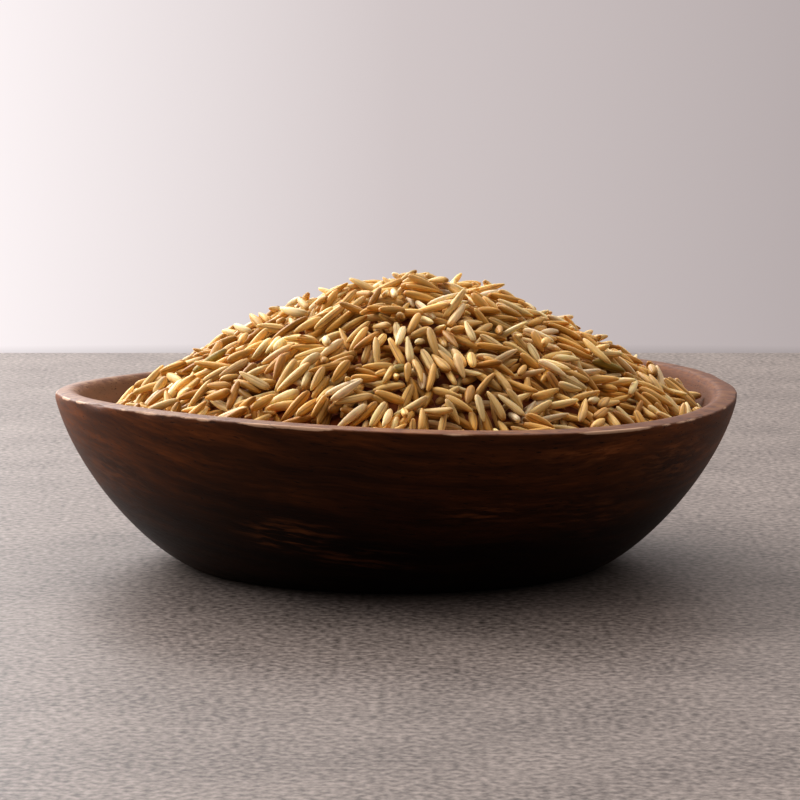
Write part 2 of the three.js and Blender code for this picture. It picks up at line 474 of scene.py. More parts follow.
edge_centre = Vector((RIM_RADIUS, RIM_HEIGHT - RIM_FALL))
on_rim = bowl_mesh.verts.layers.float.new("rim_face")
on_edge = bowl_mesh.verts.layers.float.new("rim_edge")
on_inside = bowl_mesh.verts.layers.float.new("inside")
for vert in bowl_mesh.verts:
    x, y, z = vert.co
    radius = math.hypot(x, y)
    closeness = max(0.0, 1 - (Vector((radius, z)) - edge_centre).length / WEAR_REACH)
    if radius > RIM_RADIUS - FACE_BAND:
        vert[on_rim] = 1.0 if z > FACE_BOTTOM else 0.0
    else:
        vert[on_rim] = min(max((z - RIM_HEIGHT + FACE_BAND) / FACE_FADE, 0.0), 1.0)
    vert[on_edge] = closeness
    is_inside = z > FLOOR_HEIGHT / 2 and radius < inner_radius(z) + WALL_BAND
    vert[on_inside] = 1.0 if is_inside else 0.0
    rubbed = EDGE_WEAR * closeness * (0.5 + 0.6 * noise.noise(vert.co * RUBS))
    knocked = EDGE_WEAR * closeness * max(0.0, noise.noise(vert.co * KNOCKS) - 0.2) * 2
    from_nick = (math.atan2(y, x) - NICK_BEARING) / NICK_WIDTH
    nicked = NICK_DEPTH * closeness**4 * math.exp(-(from_nick**2))
    shrink = 1 - (rubbed + knocked + nicked) / max(radius, MM)
    vert.co.x *= shrink
    vert.co.y *= shrink
    vert.co.z += saddle(x, y, z)

# %% Finish a piece
def finished_piece(mesh, name, materials):
    """Turns a bmesh into a smooth object at the origin, and lets it ride on the frame."""
    data = bpy.data.meshes.new(name)
    mesh.to_mesh(data)
    mesh.free()
    data.shade_smooth()
    for material in materials:
        data.materials.append(material)
    piece = bpy.data.objects.new(name, data)
    bpy.context.scene.collection.objects.link(piece)
    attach(piece, "root")
    print(name, "has", len(data.polygons), "faces")
    return piece

# %% [markdown]
# ## The bowl's wood
# The blank was cut from a plank with its fibres running across the bowl, from left to right. The
# growth rings are long tubes round the trunk's middle, which lay far under the bowl, so the
# turner's cut shows them on the front as nearly level lines that fall a little to the right. The
# wood is a plain tropical hardwood, stained dark and finished with oil: nearly black where the rings
# are dense, with tan streaks where they are open. Shade is painted on the outer wall: darker low
# down and in the middle of the front, and lighter towards both sides. The inside and the rim's face
# are scoured paler, and the knocked edge shows bare wood. Light is painted on the left of the inner
# wall, which is paler there, and sheen on the rim's face, which is paler and greyer on the left.
# The patterns are made in the wood's own directions, along the fibres, round the trunk and out from
# it, so they run through the bowl as they do in solid wood.

# %% Stained hardwood: the wood's own directions
TRUNK_CENTRE = Vector((0, 0.004, -0.280))
FROM_TRUNK = 310 * MM  # from the trunk's middle to the wall
RING_LEAN = 0.1  # how steeply the rings fall towards the right
RING_WANDER = 5 * MM
RING_WAVES = 38  # waves of noise per metre
ROUND_TRUNK = (0.15, 1, 1)  # the rings hardly close along the trunk

wood, tree, shader = new_material("stained_turned_hardwood")
place = add_node(tree, "ShaderNodeTexCoord")
about_trunk = add_node(
    tree, "ShaderNodeMapping", {"Vector": place.outputs["Object"], "Location": -TRUNK_CENTRE}
)
waviness = add_node(
    tree,
    "ShaderNodeTexNoise",
    {"Vector": about_trunk.outputs["Vector"], "Scale": RING_WAVES, "Detail": 4},
)
wander = add_node(
    tree,
    "ShaderNodeVectorMath",
    {0: waviness.outputs["Color"], 1: (RING_WANDER,) * 3, 2: about_trunk.outputs["Vector"]},
    operation="MULTIPLY_ADD",
)
along = add_node(tree, "ShaderNodeSeparateXYZ", {"Vector": wander.outputs["Vector"]})
across_trunk = add_node(
    tree,
    "ShaderNodeVectorMath",
    {0: wander.outputs["Vector"], 1: ROUND_TRUNK},
    operation="MULTIPLY",
)
from_centre = add_node(
    tree,
    "ShaderNodeVectorMath",
    {0: across_trunk.outputs["Vector"]},
    operation="LENGTH",
)
outward = add_node(
    tree,
    "ShaderNodeMath",
    {0: along.outputs["X"], 1: RING_LEAN, 2: from_centre.outputs["Value"]},
    operation="MULTIPLY_ADD",
)
turn = add_node(
    tree, "ShaderNodeMath", {0: along.outputs["Z"], 1: along.outputs["Y"]}, operation="ARCTAN2"
)
wood_place = add_node(
    tree,
    "ShaderNodeCombineXYZ",
    {"X": along.outputs["X"], "Y": turn.outputs["Value"], "Z": outward.outputs["Value"]},
)


def wood_noise(length, width, thickness, detail):
    """A noise with a length along the fibres, a width round the trunk and a thickness outward."""
    drawn_out = add_node(
        tree,
        "ShaderNodeVectorMath",
        {0: wood_place.outputs["Vector"], 1: (1 / length, FROM_TRUNK / width, 1 / thickness)},
        operation="MULTIPLY",
    )
    return add_node(
        tree,
        "ShaderNodeTexNoise",
        {"Vector": drawn_out.outputs["Vector"], "Scale": 1, "Detail": detail},
    )

# %% Stained hardwood: rings and fibres
WOOD_DARK = "#3f200c"
WOOD_MID = "#4f2a10"
WOOD_RED = "#6a3a17"
WOOD_TAN = "#a8683a"

rings = wood_noise(30 * MM, 18 * MM, 2.6 * MM, 4)
ring_colour = add_node(
    tree,
    "ShaderNodeValToRGB",
    {"Fac": rings.outputs["Fac"]},
    stops=((0.32, WOOD_DARK), (0.5, WOOD_MID), (0.7, WOOD_RED)),
)
fibres = wood_noise(5 * MM, 2.5 * MM, 0.45 * MM, 3)
fibre_shade = add_node(
    tree,
    "ShaderNodeMapRange",
    {
        "Value": fibres.outputs["Fac"],
        "From Min": 0.3,
        "From Max": 0.7,
        "To Min": 0.74,
        "To Max": 1.26,
    },
)
fibred = add_node(
    tree,
    "ShaderNodeMix",
    {FACTOR: 1.0, FIRST: ring_colour.outputs["Color"], SECOND: fibre_shade.outputs["Result"]},
    data_type="RGBA",
    blend_type="MULTIPLY",
)

# %% Stained hardwood: patches of open grain
# Each patch has a centre on the wall and a size along X, Y and Z, in mm, and a strength
PATCHES = (
    ((-22, -60, 16), (13, 9, 4.2), 0.8),
    ((-4, -59, 11), (11, 8, 3), 0.6),
    ((26, -63, 22), (15, 9, 2.2), 0.6),
    ((41, -57, 34), (13, 10, 2.6), 1.0),
    ((43, -48, 21), (14, 12, 6), 0.35),
    ((60, -40, 31), (14, 18, 6), 0.6),
    ((-60, -40, 26), (10, 14, 5), 0.35),
    ((58, 44, 24), (14, 12, 5), 0.8),
    ((-30, 62, 20), (15, 9, 4), 0.9),
    ((20, 60, 30), (12, 9, 3), 0.6),
)
PATCH_EDGE = 1.3  # in sizes of a patch from its centre
PATCH_HEART = 0.3

in_patches = None
for centre, size, strength in PATCHES:
    shift = add_node(
        tree,
        "ShaderNodeVectorMath",
        {0: wander.outputs["Vector"], 1: Vector(centre) * MM - TRUNK_CENTRE},
        operation="SUBTRACT",
    )
    shrunk = add_node(
        tree,
        "ShaderNodeVectorMath",
        {0: shift.outputs["Vector"], 1: [1 / (half * MM) for half in size]},
        operation="MULTIPLY",
    )
    away = add_node(tree, "ShaderNodeVectorMath", {0: shrunk.outputs["Vector"]}, operation="LENGTH")
    in_patch = add_node(
        tree,
        "ShaderNodeMapRange",
        {
            "Value": away.outputs["Value"],
            "From Min": PATCH_EDGE,
            "From Max": PATCH_HEART,
            "To Max": strength,
        },
    )
    if in_patches is None:
        in_patches = in_patch.outputs["Result"]
    else:
        in_patches = add_node(
            tree,
            "ShaderNodeMath",
            {0: in_patches, 1: in_patch.outputs["Result"]},
            operation="MAXIMUM",
        ).outputs["Value"]

# %% Stained hardwood: streaks in the patches
streaks = wood_noise(8 * MM, 4 * MM, 0.9 * MM, 3)
in_streak = add_node(
    tree,
    "ShaderNodeMapRange",
    {"Value": streaks.outputs["Fac"], "From Min": 0.47, "From Max": 0.68, "To Max": 0.85},
)
streak_mask = add_node(
    tree,
    "ShaderNodeMath",
    {0: in_patches, 1: in_streak.outputs["Result"]},
    operation="MULTIPLY",
)

# %% Stained hardwood: painted shade and light
# Painted shade: the outer wall is painted darker low down
LOW_SHADE_BOTTOM = 12 * MM
LOW_SHADE_TOP = 36 * MM
SHADED_MIDDLE = -12 * MM  # the middle of the painted shade, between the lighter sides
DARKEST_REACH = 10 * MM
LIGHTEST_REACH = 60 * MM

height_up = add_node(tree, "ShaderNodeSeparateXYZ", {"Vector": place.outputs["Object"]})
painted_low_shade = add_node(
    tree,
    "ShaderNodeMapRange",
    {
        "Value": height_up.outputs["Z"],
        "From Min": LOW_SHADE_BOTTOM,
        "From Max": LOW_SHADE_TOP,
        "To Min": 0.25,
        "To Max": 1.25,
    },
)
# Painted light and shade: the wall is painted darker in the middle of the front and lighter towards
# both sides
to_side = add_node(
    tree, "ShaderNodeMath", {0: height_up.outputs["X"], 1: SHADED_MIDDLE}, operation="SUBTRACT"
)
from_middle = add_node(tree, "ShaderNodeMath", {0: to_side.outputs["Value"]}, operation="ABSOLUTE")
painted_side_light = add_node(
    tree,
    "ShaderNodeMapRange",
    {
        "Value": from_middle.outputs["Value"],
        "From Min": DARKEST_REACH,
        "From Max": LIGHTEST_REACH,
        "To Min": 0.8,
        "To Max": 1.3,
    },
)
painted_light_and_shade = add_node(
    tree,
    "ShaderNodeMath",
    {0: painted_low_shade.outputs["Result"], 1: painted_side_light.outputs["Result"]},
    operation="MULTIPLY",
)
# The wood's colour times the painted shade and light
stained = add_node(
    tree,
    "ShaderNodeMix",
    {FACTOR: 1.0, FIRST: fibred.outputs[MIXED], SECOND: painted_light_and_shade.outputs["Value"]},
    data_type="RGBA",
    blend_type="MULTIPLY",
)
streaked = add_node(
    tree,
    "ShaderNodeMix",
    {FACTOR: streak_mask.outputs["Value"], FIRST: stained.outputs[MIXED], SECOND: linear(WOOD_TAN)},
    data_type="RGBA",
)

# %% Stained hardwood: inside
INSIDE_RED = "#75503a"
LEFT_WALL_LIGHT = "#b8a08c"
LEFT_LIGHT_FROM = -35 * MM
LEFT_LIGHT_FULL = -65 * MM

inside = add_node(tree, "ShaderNodeAttribute", attribute_name="inside")
scoured = add_node(
    tree,
    "ShaderNodeMix",
    {FACTOR: 0.45, FIRST: linear(INSIDE_RED), SECOND: fibred.outputs[MIXED]},
    data_type="RGBA",
)
# Painted light: the inner wall is painted paler towards the left, where it faces away from the
# window
painted_left_light = add_node(
    tree,
    "ShaderNodeMapRange",
    {
        "Value": height_up.outputs["X"],
        "From Min": LEFT_LIGHT_FROM,
        "From Max": LEFT_LIGHT_FULL,
        "To Max": 0.2,
    },
)
inside_colour = add_node(
    tree,
    "ShaderNodeMix",
    {FACTOR: painted_left_light.outputs["Result"], FIRST: scoured.outputs[MIXED], SECOND: linear(LEFT_WALL_LIGHT)},
    data_type="RGBA",
)
with_inside = add_node(
    tree,
    "ShaderNodeMix",
    {
        FACTOR: inside.outputs["Fac"],
        FIRST: streaked.outputs[MIXED],
        SECOND: inside_colour.outputs[MIXED],
    },
    data_type="RGBA",
)

# %% Stained hardwood: rim
RIM_TAN = "#8b6751"
RIM_SHEEN_REACH = 50 * MM

rim_face = add_node(tree, "ShaderNodeAttribute", attribute_name="rim_face")
bleached = add_node(
    tree,
    "ShaderNodeValToRGB",
    {"Fac": fibres.outputs["Fac"]},
    stops=((0.3, "#6b4b39"), (0.5, RIM_TAN), (0.72, "#a28467")),
)
# Painted sheen and light: the rim is painted paler and greyer towards the left, on the window's
# side, and darker towards the right
along_rim = add_node(
    tree,
    "ShaderNodeMapRange",
    {"Value": height_up.outputs["X"], "From Min": -RIM_SHEEN_REACH, "From Max": RIM_SHEEN_REACH},
)
painted_rim_sheen = add_node(
    tree,
    "ShaderNodeValToRGB",
    {"Fac": along_rim.outputs["Result"]},
    stops=((0, "#f6f7fc"), (0.2, "#e7e4e6"), (0.5, "#e9c9a8"), (1, "#cbb29e")),
)
rim_colour = add_node(
    tree,
    "ShaderNodeMix",
    {FACTOR: 1.0, FIRST: bleached.outputs["Color"], SECOND: painted_rim_sheen.outputs["Color"]},
    data_type="RGBA",
    blend_type="MULTIPLY",
)
with_rim = add_node(
    tree,
    "ShaderNodeMix",
    {
        FACTOR: rim_face.outputs["Fac"],
        FIRST: with_inside.outputs[MIXED],
        SECOND: rim_colour.outputs[MIXED],
    },
    data_type="RGBA",
)

# %% Stained hardwood: worn edge and pores
BARE_WOOD = "#caa68a"
PORE_BROWN = "#120805"
WORN_PATCHES = 70  # waves of noise per metre

rim_edge = add_node(tree, "ShaderNodeAttribute", attribute_name="rim_edge")
rubbing = add_node(
    tree,
    "ShaderNodeTexNoise",
    {"Vector": place.outputs["Object"], "Scale": WORN_PATCHES, "Detail": 5},
)
rubbed_there = add_node(
    tree,
    "ShaderNodeMapRange",
    {
        "Value": rubbing.outputs["Fac"],
        "From Min": 0.36,
        "From Max": 0.62,
        "To Min": 0.1,
        "To Max": 1.0,
    },
)
worn = add_node(
    tree,
    "ShaderNodeMath",
    {0: rim_edge.outputs["Fac"], 1: rubbed_there.outputs["Result"]},
    operation="MULTIPLY",
)
worn_mask = add_node(
    tree, "ShaderNodeMapRange", {"Value": worn.outputs["Value"], "From Min": 0.48, "From Max": 0.62}
)
with_wear = add_node(
    tree,
    "ShaderNodeMix",
    {
        FACTOR: worn_mask.outputs["Result"],
        FIRST: with_rim.outputs[MIXED],
        SECOND: linear(BARE_WOOD),
    },
    data_type="RGBA",
)
pores = wood_noise(3 * MM, 1 * MM, 0.35 * MM, 1)
pore_mask = add_node(
    tree,
    "ShaderNodeMapRange",
    {"Value": pores.outputs["Fac"], "From Min": 0.66, "From Max": 0.74, "To Max": 0.7},
)
with_pores = add_node(
    tree,
    "ShaderNodeMix",
    {
        FACTOR: pore_mask.outputs["Result"],
        FIRST: with_wear.outputs[MIXED],
        SECOND: linear(PORE_BROWN),
    },
    data_type="RGBA",
)
tree.links.new(with_pores.outputs[MIXED], shader.inputs["Base Color"])

# %% Stained hardwood: gloss and relief
FIBRE_DEPTH = 0.05 * MM

gloss = add_node(
    tree, "ShaderNodeMapRange", {"Value": fibres.outputs["Fac"], "To Min": 0.4, "To Max": 0.6}
)
# The inside and the rim are scoured by the grain, and dull
dulled = add_node(
    tree,
    "ShaderNodeMath",
    {0: inside.outputs["Fac"], 1: 0.25, 2: gloss.outputs["Result"]},
    operation="MULTIPLY_ADD",
)
tree.links.new(dulled.outputs["Value"], shader.inputs["Roughness"])
height = add_node(
    tree,
    "ShaderNodeMath",
    {0: fibres.outputs["Fac"], 1: pore_mask.outputs["Result"]},
    operation="SUBTRACT",
)
relief = add_node(
    tree,
    "ShaderNodeBump",
    {"Height": height.outputs["Value"], "Distance": FIBRE_DEPTH, "Strength": 0.8},
)
tree.links.new(relief.outputs["Normal"], shader.inputs["Normal"])
shader.inputs["Specular IOR Level"].default_value = 0.2

# %% The bowl
bowl = finished_piece(bowl_mesh, "turned_bowl", [wood])
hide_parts("bowl")

# %% [markdown]
# ## The heap's slope
# Poured grain settles to a cone with a rounded top. Here the top lies a little right of the middle.
# One formula gives the slope's height over any point. It measures how far out the point is on
# circles that shift from the top to the wall. Small slides leave shelves and hollows on the slope,
# which a sum of a few waves gives, and the lie of the grains turns slowly from place to place.

# %% Slope formula
heap_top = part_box("oat_heap")[1][2]
HEAP_RADIUS = 66 * MM
HEAP_TOP_X = 4 * MM
HEAP_EDGE_X = 0.8 * MM
HEAP_TOP_HEIGHT = heap_top - 2.4 * MM
HEAP_EDGE_HEIGHT = 32 * MM
HEAP_TILT = 1.6 * MM
HEAP_BULGE = 1.58
LUMP_HEIGHT = 2.4 * MM
LUMP_WAVES = ((17, 0.4), (11, 2.0), (21, 3.9), (13, 5.3), (10, 1.3))  # length in mm, and bearing
EVEN_TOP = 14 * MM  # how far from the top the lumps reach their full height
SLOW_SWIRL = 23 * MM
FAST_SWIRL = 15 * MM
SWIRL = 0.4
RIGHT_SWIRL = 0.25  # a further turn towards the right
RIGHT_REACH = 40 * MM


def lumps(x, y):
    """The little shelves and hollows that slides leave on the slope."""
    total = 0
    for i, (length, bearing) in enumerate(LUMP_WAVES):
        along = x * math.cos(bearing) + y * math.sin(bearing)
        total = total + np.sin(math.tau * along / (length * MM) + i)
    off_top = np.clip(np.hypot(x - HEAP_TOP_X, y) / EVEN_TOP, 0, 1)
    return LUMP_HEIGHT * off_top * total / len(LUMP_WAVES)


def swirl(x, y):
    """How much the lie of the grains turns from place to place, in radians."""
    slow = np.sin(math.tau * (x + 0.6 * y) / SLOW_SWIRL + 1)
    fast = np.sin(math.tau * (y - 0.5 * x) / FAST_SWIRL)
    return SWIRL * (slow + fast) + RIGHT_SWIRL * np.clip(x / RIGHT_REACH, 0, 1)


def share_out(x, y):
    """0 at the heap's top and 1 on the circle where it meets the wall."""
    shift = HEAP_TOP_X - HEAP_EDGE_X
    from_top = x - HEAP_TOP_X
    scale = HEAP_RADIUS**2 - shift**2
    root = np.sqrt((shift * from_top) ** 2 + scale * (from_top**2 + y**2))
    return (shift * from_top + root) / scale


def slope_height(x, y):
    """The height that the grains are heaped to."""
    share = share_out(x, y)
    rise = (HEAP_TOP_HEIGHT - HEAP_EDGE_HEIGHT) * (1 - share**HEAP_BULGE)
    return HEAP_EDGE_HEIGHT + rise + HEAP_TILT * (x / HEAP_RADIUS) * share**2 + lumps(x, y)


print("slope at the top, mm:", slope_height(HEAP_TOP_X, 0) / MM)
print("slope at the front, mm:", slope_height(0, -HEAP_RADIUS) / MM)

# %% [markdown]
# ## The inside of the heap
# Only the outer grains can be seen. Under them lies a closed body that fills the bowl up to a few
# millimetres below the slope, so the gaps end in shade instead of in an empty bowl. It is spun like
# the bowl, and then the rings of its top are moved to follow the slope.

# %% Heap core
COVER_DEPTH = 4.6 * MM
SEAT_GAP = 0.3 * MM
CORE_RINGS = 24
CORE_STEPS = 96
CORE_TOP = 1.0  # a height over everything, which marks the vertices of the top

core_side = [point + Vector((-SEAT_GAP, 0, SEAT_GAP)) for point in reversed(inner_wall)]
core_side = [point for point in core_side if point.z < HEAP_EDGE_HEIGHT - HEAP_TILT - COVER_DEPTH]
core_top = [Vector((HEAP_RADIUS * i / CORE_RINGS, 0, CORE_TOP)) for i in range(CORE_RINGS, -1, -1)]
core_top = [point for point in core_top if point.x < core_side[-1].x]
core_mesh = spun([Vector((0, 0, FLOOR_HEIGHT + SEAT_GAP)), *core_side, *core_top], CORE_STEPS)
for vert in core_mesh.verts:
    if vert.co.z == CORE_TOP:
        vert.co.z = slope_height(vert.co.x, vert.co.y) - COVER_DEPTH
    vert.co.z += saddle(*vert.co)

# %% Shaded oat bed
# Painted shade: deep grains are lit only by what the others throw on them, so the core is painted
# a matt red-brown, darker than the grains, and darkest between the clumps.
CLUMP_SIZE = 3 * MM

shade, tree, shader = new_material("shaded_oat_bed")
place = add_node(tree, "ShaderNodeTexCoord")
clumps = add_node(
    tree,
    "ShaderNodeTexVoronoi",
    {"Vector": place.outputs["Object"], "Scale": 1 / CLUMP_SIZE},
)
shade_colour = add_node(
    tree,
    "ShaderNodeValToRGB",
    {"Fac": clumps.outputs["Distance"]},
    stops=((0, "#b96d30"), (0.7, "#7a3a10")),
)
tree.links.new(shade_colour.outputs["Color"], shader.inputs["Base Color"])
shader.inputs["Roughness"].default_value = 0.8

core = finished_piece(core_mesh, "heap_core", [shade])
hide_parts("oat_heap")

# %% [markdown]
# ## One grain
# A hulled oat grain is a slim spindle about 8 mm long and 2 mm across. It is fuller towards one
# end, a little bent, and has a crease along its inner side. A sphere of few faces is stretched into
# that shape. Few faces matter, because nearly two thousand copies follow. A handful of grains, bent
# and filled differently, is enough for a heap in which no two neighbours look alike.

# %% Grain shapes
GRAIN_LENGTH = 8.0 * MM
GRAIN_WIDTH = 1.9 * MM
GRAIN_FLATNESS = 0.92
GRAIN_SIDES = 8
GRAIN_RINGS = 8
CREASE = 0.25  # its depth, as a share of the grain's half width
BEND_MIDDLE = 0.08  # keeps a bent grain's weight on its axis


def grain_shape(bend, taper, fullness):
    """A grain one long and one wide along X, with its crease and its bent ends downwards."""
    made = bmesh.new()
    made.loops.layers.uv.new("kernel")
    bmesh.ops.create_uvsphere(
        made, u_segments=GRAIN_SIDES, v_segments=GRAIN_RINGS, radius=0.5, calc_uvs=True
    )
    for vert in made.verts:
        x, y, z = vert.co
        roundness = math.hypot(x, y)
        full = (max(2 * roundness, 1e-4) ** (fullness - 1)) * (1 - taper * 2 * z)
        if x < -0.99 * roundness:
            full *= 1 - CREASE
        vert.co = Vector((z, y * full, x * full - bend * (z * z - BEND_MIDDLE)))
    bmesh.ops.recalc_face_normals(made, faces=made.faces)
    data = bpy.data.meshes.new("grain_shape")
    made.to_mesh(data)
    made.free()
    return data

# %% Eight grains
# Each has a bend, a taper towards one end and a fullness. A fullness under 1 makes blunter ends.
grain_shapes = [
    grain_shape(bend, taper, fullness)
    for bend, taper, fullness in (
        (0.05, 0.05, 0.7),
        (0.05, 0.25, 0.9),
        (0.3, 0.1, 0.7),
        (0.35, 0.25, 1.05),
        (0.55, 0.05, 0.85),
        (0.75, 0.3, 0.8),
        (0.15, 0.35, 0.95),
        (0.1, 0.15, 1.15),
    )
]
print("grain shapes:", len(grain_shapes), "of", len(grain_shapes[0].polygons), "faces")

# %% [markdown]
# ## Pouring the grains
# Scattering grains on a surface gives a hedgehog, not a heap: in a real heap each grain lies on
# those under it. So the heap is poured. A height map of the bowl's inside is kept. For each grain a
# few places are tried, the grain is laid on the map like a stick on stones, and the lowest place
# wins. Then the grain is drawn into the map, and the next one can lie on it. Most grains point down
# the slope, as they do after rolling. The bowl was also shaken from left to right, which has turned
# many of them to lie across it.

# %% Height map
CELL = 0.5 * MM
MAP_REACH = 72 * MM
BLOCKED = 1.0
WALL_GAP = 0.4 * MM  # the grains keep this far from the wall
RIM_GAP = 0.6 * MM  # and from the rim's inner edge

map_line = np.arange(-MAP_REACH, MAP_REACH + CELL, CELL)
map_x, map_y = np.meshgrid(map_line, map_line, indexing="ij")
map_radius = np.hypot(map_x, map_y)
wall_radii = [point.x for point in reversed(inner_wall)]
wall_heights = [point.z for point in reversed(inner_wall)]
wall_under = np.interp(map_radius + WALL_GAP, wall_radii, wall_heights)
ground = np.maximum(slope_height(map_x, map_y) - COVER_DEPTH, wall_under)
ground[map_radius > RIM_RADIUS - RIM_WIDTH - RIM_GAP] = BLOCKED
print("height map:", ground.shape)

# %% How grains lie
draw = np.random.default_rng(23)
TRIES = 8
LYING_ANYHOW = 0.36  # the share of grains that point anywhere
SCATTER = 0.45  # how far the others stray from their lie, in radians
TURNED = 0.22  # under 1 turns the lie across the bowl
FULLNESS = 0.7
SQUEEZE = 0.12 * MM  # how far a grain may sink into those under it
STEEPEST = 0.8  # how steeply it may rise out of the slope

# Where a grain may touch: nine stations along it and three across, as shares of its size
stations = np.linspace(-0.46, 0.46, 9)
offsets = np.array([-0.6, 0.0, 0.6])
MIDDLE = len(stations) // 2


def half_width(station):
    """A grain's half width at a station from -0.5 to 0.5 along it, as a share of its width."""
    return 0.5 * np.maximum(1 - (2 * station) ** 2, 0.02) ** (FULLNESS / 2)


def cell_of(value):
    """The map's row or column at a distance from its middle."""
    return np.clip(np.rint((value + MAP_REACH) / CELL).astype(int), 0, len(map_line) - 1)

# %% Try places for a grain
def try_places(length, width):
    """Lays a grain at random places and returns the lowest, with its height, heading and rise."""
    radius = (RIM_RADIUS - RIM_WIDTH) * np.sqrt(draw.random(TRIES))
    bearing = math.tau * draw.random(TRIES)
    x, y = radius * np.cos(bearing), radius * np.sin(bearing)
    downhill = np.arctan2(TURNED * y, x - HEAP_TOP_X)
    anyhow = draw.random(TRIES) < LYING_ANYHOW
    lie = downhill + swirl(x, y) + SCATTER * draw.normal(size=TRIES)
    heading = np.where(anyhow, math.pi * draw.random(TRIES), lie)
    ahead = np.stack([np.cos(heading), np.sin(heading)])
    along = (stations * length)[:, None]
    aside = offsets[None, :] * width / 2
    at_x = x[:, None, None] + along * ahead[0][:, None, None] - aside * ahead[1][:, None, None]
    at_y = y[:, None, None] + along * ahead[1][:, None, None] + aside * ahead[0][:, None, None]
    halves = half_width(stations)[:, None] * width
    lift = np.sqrt(np.maximum(halves**2 - (aside * halves / (width / 2)) ** 2, 0)) - SQUEEZE
    support = (ground[cell_of(at_x), cell_of(at_y)] + lift).max(axis=2)
    behind, before = stations[:MIDDLE] * length, stations[MIDDLE + 1:] * length
    low, high = support[:, :MIDDLE, None], support[:, None, MIDDLE + 1:]
    rise = (high - low) / (before[None, None, :] - behind[None, :, None])
    level = low - rise * behind[None, :, None]
    flat = level.reshape(TRIES, -1)
    best = flat.argmax(axis=1)
    height = np.maximum(flat[np.arange(TRIES), best], support[:, MIDDLE])
    rise = rise.reshape(TRIES, -1)[np.arange(TRIES), best]
    over = height - slope_height(x, y)
    ends = slope_height(x + length / 2 * ahead[0], y + length / 2 * ahead[1])
    starts = slope_height(x - length / 2 * ahead[0], y - length / 2 * ahead[1])
    over[np.abs(rise - (ends - starts) / length) > STEEPEST] = BLOCKED
    i = over.argmin()
    return over[i], Vector((x[i], y[i], height[i])), heading[i], rise[i]

# %% Draw a grain into the map
def draw_into_map(middle, heading, rise, length, width):
    """Raises the map to the top of a grain."""
    reach = int(length / 2 / CELL) + 2
    i, j = cell_of(middle.x), cell_of(middle.y)
    rows = slice(max(i - reach, 0), i + reach + 1)
    columns = slice(max(j - reach, 0), j + reach + 1)
    dx, dy = map_x[rows, columns] - middle.x, map_y[rows, columns] - middle.y
    along = dx * math.cos(heading) + dy * math.sin(heading)
    aside = dy * math.cos(heading) - dx * math.sin(heading)
    half = half_width(np.clip(along / length, -0.5, 0.5)) * width
    inside = (np.abs(along) < length / 2) & (np.abs(aside) < half)
    top = middle.z + rise * along + np.sqrt(np.maximum(half**2 - aside**2, 0))
    under = ground[rows, columns]
    ground[rows, columns] = np.where(inside, np.maximum(under, top), under)

# %% Pour the heap
MOST_GRAINS = 4000
FULL = 0.5 * MM  # a grain's middle may lie this far over the slope
PATIENCE = 300  # how many grains in a row may find no room
LENGTH_SPREAD = 0.14
WIDTH_SPREAD = 0.08

poured = []
refused = 0
while len(poured) < MOST_GRAINS and refused < PATIENCE:
    length = GRAIN_LENGTH * draw.normal(1, LENGTH_SPREAD)
    width = GRAIN_WIDTH * draw.normal(1, WIDTH_SPREAD)
    over, middle, heading, rise = try_places(length, width)
    if over > FULL:
        refused += 1
        continue
    refused = 0
    draw_into_map(middle, heading, rise, length, width)
    poured.append((middle, heading, rise, length, width))
print("grains poured:", len(poured))

# %% [markdown]
# ## Oat grains of three tones
# Ripe oats are golden tan. Some are paler and starchy, and some are browner, from more sun or heat.
# Each tone has its own finish and its own piece, and the golden grains have two, because they are
# the most. A random number on each grain, kept as an attribute, varies the colour from grain to
# grain. Each grain also gets its own square of a second UV map, so that its colours can be baked.

# %% Turn a grain into its place
def grain_matrix(middle, heading, rise, length, width, roll):
    """Turns a grain that is one long and one wide into its place."""
    ahead = Vector((math.cos(heading), math.sin(heading), rise)).normalized()
    left = Vector((-math.sin(heading), math.cos(heading), 0))
    up = ahead.cross(left)
    turn = Matrix((ahead, left, up)).transposed().to_4x4()
    size = Matrix.Diagonal((length, width, width * GRAIN_FLATNESS, 1))
    return Matrix.Translation(middle) @ turn @ Matrix.Rotation(roll, 4, "X") @ size

# %% Join grains into a piece
BAKE_MARGIN = 0.06


def gather(name, grains, material):
    """Joins grains into one piece, with a tone for each and a bake map of one square for each."""
    made = bmesh.new()
    corners = []
    vertices = []
    for grain in grains:
        shape = grain_shapes[draw.integers(len(grain_shapes))]
        place = grain_matrix(*grain, roll=math.tau * draw.random())
        shape.transform(place)
        made.from_mesh(shape)
        shape.transform(place.inverted())
        vertices.append(len(shape.vertices))
        corners.append(len(shape.loops))
    for vert in made.verts:
        vert.co.z += saddle(*vert.co)
    piece = finished_piece(made, name, [material])
    tone = piece.data.attributes.new("tone", "FLOAT", "POINT")
    tone.data.foreach_set("value", np.repeat(draw.random(len(grains)), vertices))
    across = math.ceil(math.sqrt(len(grains)))
    square = np.repeat(np.arange(len(grains)), corners)
    kernel = np.empty(len(piece.data.loops) * 2, np.float32)
    piece.data.uv_layers["kernel"].data.foreach_get("uv", kernel)
    kernel = kernel.reshape(-1, 2) * (1 - 2 * BAKE_MARGIN) + BAKE_MARGIN
    bake_map = piece.data.uv_layers.new(name="OFBake")
    squares = np.stack([square % across, square // across], axis=1)
    bake_map.data.foreach_set("uv", ((kernel + squares) / across).ravel())
    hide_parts("oat_heap")

# %% Oat skin: streaks
BLOTCH_SIZE = 9 * MM
STREAKS = (10, 1.4, 1)  # about ten round the grain, drawn out along it
TONE_SHIFT = (40, 40, 40)  # moves each grain's streaks by its tone, so that no two are alike


